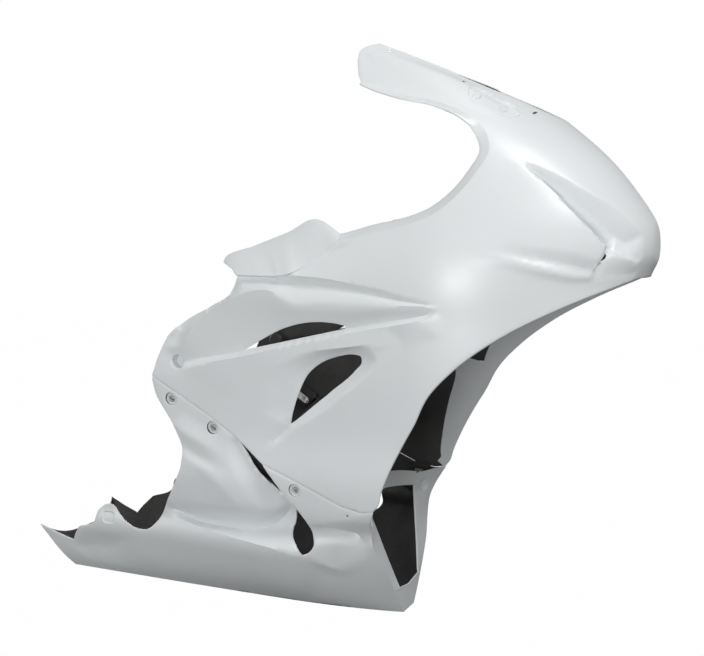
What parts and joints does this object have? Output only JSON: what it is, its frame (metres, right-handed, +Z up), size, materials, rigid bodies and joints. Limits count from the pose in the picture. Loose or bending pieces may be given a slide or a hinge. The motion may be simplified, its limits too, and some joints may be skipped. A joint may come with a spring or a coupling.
{
  "type": "motorcycle race fairing",
  "caption": "Two-shell moulded motorcycle race fairing, upper with ram-air nose and side panels, belly pan below, held along a split line by quarter-turn fasteners.",
  "frame": {"origin": "halfway between the two frame cups, on the middle plane", "axes": "+X forward to the nose, +Y to the rider's left, +Z up"},
  "size_m": [1.1276, 0.4794, 0.9744],
  "materials": {
    "gelcoat": "satin white gelcoat on black laminate",
    "stud_steel": "polished",
    "zinc_steel": "zinc plated",
    "rivet_alloy": "plain"
  },
  "bodies": {
    "fairing": {"upper_fairing": "gelcoat", "belly_pan": "gelcoat", "washer_right_rear": "zinc_steel", "receptacle_right_rear": "zinc_steel", "rivets_right_rear": "rivet_alloy", "washer_right_mid": "zinc_steel", "receptacle_right_mid": "zinc_steel", "rivets_right_mid": "rivet_alloy", "washer_right_front": "zinc_steel", "receptacle_right_front": "zinc_steel", "rivets_right_front": "rivet_alloy", "clip_right": "zinc_steel", "washer_left_rear": "zinc_steel", "receptacle_left_rear": "zinc_steel", "rivets_left_rear": "rivet_alloy", "washer_left_mid": "zinc_steel", "receptacle_left_mid": "zinc_steel", "rivets_left_mid": "rivet_alloy", "washer_left_front": "zinc_steel", "receptacle_left_front": "zinc_steel", "rivets_left_front": "rivet_alloy", "clip_left": "zinc_steel"},
    "stud_right_rear": {"stud_right_rear": "stud_steel"},
    "stud_right_mid": {"stud_right_mid": "stud_steel"},
    "stud_right_front": {"stud_right_front": "stud_steel"},
    "stud_left_rear": {"stud_left_rear": "stud_steel"},
    "stud_left_mid": {"stud_left_mid": "stud_steel"},
    "stud_left_front": {"stud_left_front": "stud_steel"}
  },
  "joints": [
    {"name": "quarter_turn_right_rear", "type": "hinge", "parent": "fairing", "child": "stud_right_rear", "pos_m": [-0.018, -0.2, -0.066], "axis": [0, -1, 0], "range_deg": [0, 90]},
    {"name": "quarter_turn_right_mid", "type": "hinge", "parent": "fairing", "child": "stud_right_mid", "pos_m": [0.061, -0.2, -0.112], "axis": [0, -1, 0], "range_deg": [0, 90]},
    {"name": "quarter_turn_right_front", "type": "hinge", "parent": "fairing", "child": "stud_right_front", "pos_m": [0.215, -0.2, -0.208], "axis": [0, -1, 0], "range_deg": [0, 90]},
    {"name": "quarter_turn_left_rear", "type": "hinge", "parent": "fairing", "child": "stud_left_rear", "pos_m": [-0.018, 0.2, -0.066], "axis": [0, 1, 0], "range_deg": [0, 90]},
    {"name": "quarter_turn_left_mid", "type": "hinge", "parent": "fairing", "child": "stud_left_mid", "pos_m": [0.061, 0.2, -0.112], "axis": [0, 1, 0], "range_deg": [0, 90]},
    {"name": "quarter_turn_left_front", "type": "hinge", "parent": "fairing", "child": "stud_left_front", "pos_m": [0.215, 0.2, -0.208], "axis": [0, 1, 0], "range_deg": [0, 90]}
  ]
}
